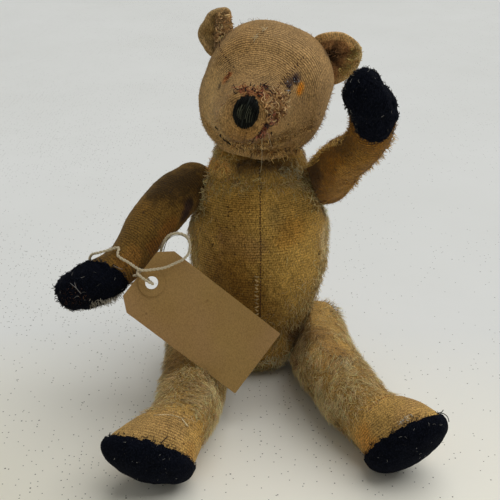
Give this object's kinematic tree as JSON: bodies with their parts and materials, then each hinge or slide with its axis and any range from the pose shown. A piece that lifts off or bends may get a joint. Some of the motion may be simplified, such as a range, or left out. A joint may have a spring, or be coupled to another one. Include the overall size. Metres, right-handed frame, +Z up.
{
  "type": "jointed teddy bear",
  "caption": "Worn mohair teddy bear, seated, with disc-jointed head, arms and legs, black felt pads and a card label tied at the wrist.",
  "frame": {"origin": "middle of the flat patch under the torso that the bear sits on, in the plane of the floor", "axes": "+Z up, the bear faces -Y, and its own left arm and leg are on the +X side"},
  "size_m": [0.1741, 0.1571, 0.1827],
  "materials": {
    "worn_backing_cloth": "ribbed woven backing cloth, the mohair pile worn off most of it, stained and dusty",
    "black_felt": "shaggy black felt with lint",
    "wood_wool": "packed wood wool, straw coloured",
    "fibre_board": "pressed fibre board, brown",
    "dull_steel": "dull uncoated steel",
    "black_thread": "black embroidery thread",
    "buff_card": "smooth buff manila card, matt",
    "cotton_string": "off-white two-ply cotton string"
  },
  "bodies": {
    "torso": {"torso_cover": "worn_backing_cloth", "torso_stuffing": "wood_wool", "neck_torso_disc": "fibre_board", "neck_torso_washer": "dull_steel", "left_shoulder_torso_disc": "fibre_board", "left_shoulder_torso_washer": "dull_steel", "right_shoulder_torso_disc": "fibre_board", "right_shoulder_torso_washer": "dull_steel", "left_hip_torso_disc": "fibre_board", "left_hip_torso_washer": "dull_steel", "right_hip_torso_disc": "fibre_board", "right_hip_torso_washer": "dull_steel"},
    "head": {"head_cover": "worn_backing_cloth", "head_stuffing": "wood_wool", "left_ear": "worn_backing_cloth", "right_ear": "worn_backing_cloth", "nose_stitching": "black_thread", "neck_head_disc": "fibre_board", "neck_head_washer": "dull_steel", "neck_pin": "dull_steel"},
    "left_arm": {"left_arm_cover": "worn_backing_cloth", "left_arm_stuffing": "wood_wool", "left_paw_pad": "black_felt", "left_shoulder_arm_disc": "fibre_board", "left_shoulder_arm_washer": "dull_steel", "left_shoulder_pin": "dull_steel"},
    "right_arm": {"right_arm_cover": "worn_backing_cloth", "right_arm_stuffing": "wood_wool", "right_paw_pad": "black_felt", "right_shoulder_arm_disc": "fibre_board", "right_shoulder_arm_washer": "dull_steel", "right_shoulder_pin": "dull_steel", "label_card": "buff_card", "label_washer": "buff_card", "label_string": "cotton_string"},
    "left_leg": {"left_leg_cover": "worn_backing_cloth", "left_leg_stuffing": "wood_wool", "left_sole_pad": "black_felt", "left_hip_leg_disc": "fibre_board", "left_hip_leg_washer": "dull_steel", "left_hip_pin": "dull_steel"},
    "right_leg": {"right_leg_cover": "worn_backing_cloth", "right_leg_stuffing": "wood_wool", "right_sole_pad": "black_felt", "right_hip_leg_disc": "fibre_board", "right_hip_leg_washer": "dull_steel", "right_hip_pin": "dull_steel"}
  },
  "joints": [
    {"name": "neck", "type": "hinge", "parent": "torso", "child": "head", "pos_m": [0.0025, -0.0035, 0.115], "axis": [0.1045, 0, 0.9945], "range_deg": [-170, 40]},
    {"name": "left_shoulder", "type": "hinge", "parent": "torso", "child": "left_arm", "pos_m": [0.0273, 0.001, 0.0963], "axis": [0.9397, 0, 0.342], "range_deg": [-5, 250]},
    {"name": "right_shoulder", "type": "hinge", "parent": "torso", "child": "right_arm", "pos_m": [-0.0273, 0.001, 0.0963], "axis": [-0.9397, 0, 0.342], "range_deg": [0, 60]},
    {"name": "left_hip", "type": "hinge", "parent": "torso", "child": "left_leg", "pos_m": [0.021, -0.008, 0.0225], "axis": [0.9135, 0, -0.4067], "range_deg": [-100, 45]},
    {"name": "right_hip", "type": "hinge", "parent": "torso", "child": "right_leg", "pos_m": [-0.021, -0.008, 0.0225], "axis": [-0.9135, 0, -0.4067], "range_deg": [-45, 0]}
  ]
}
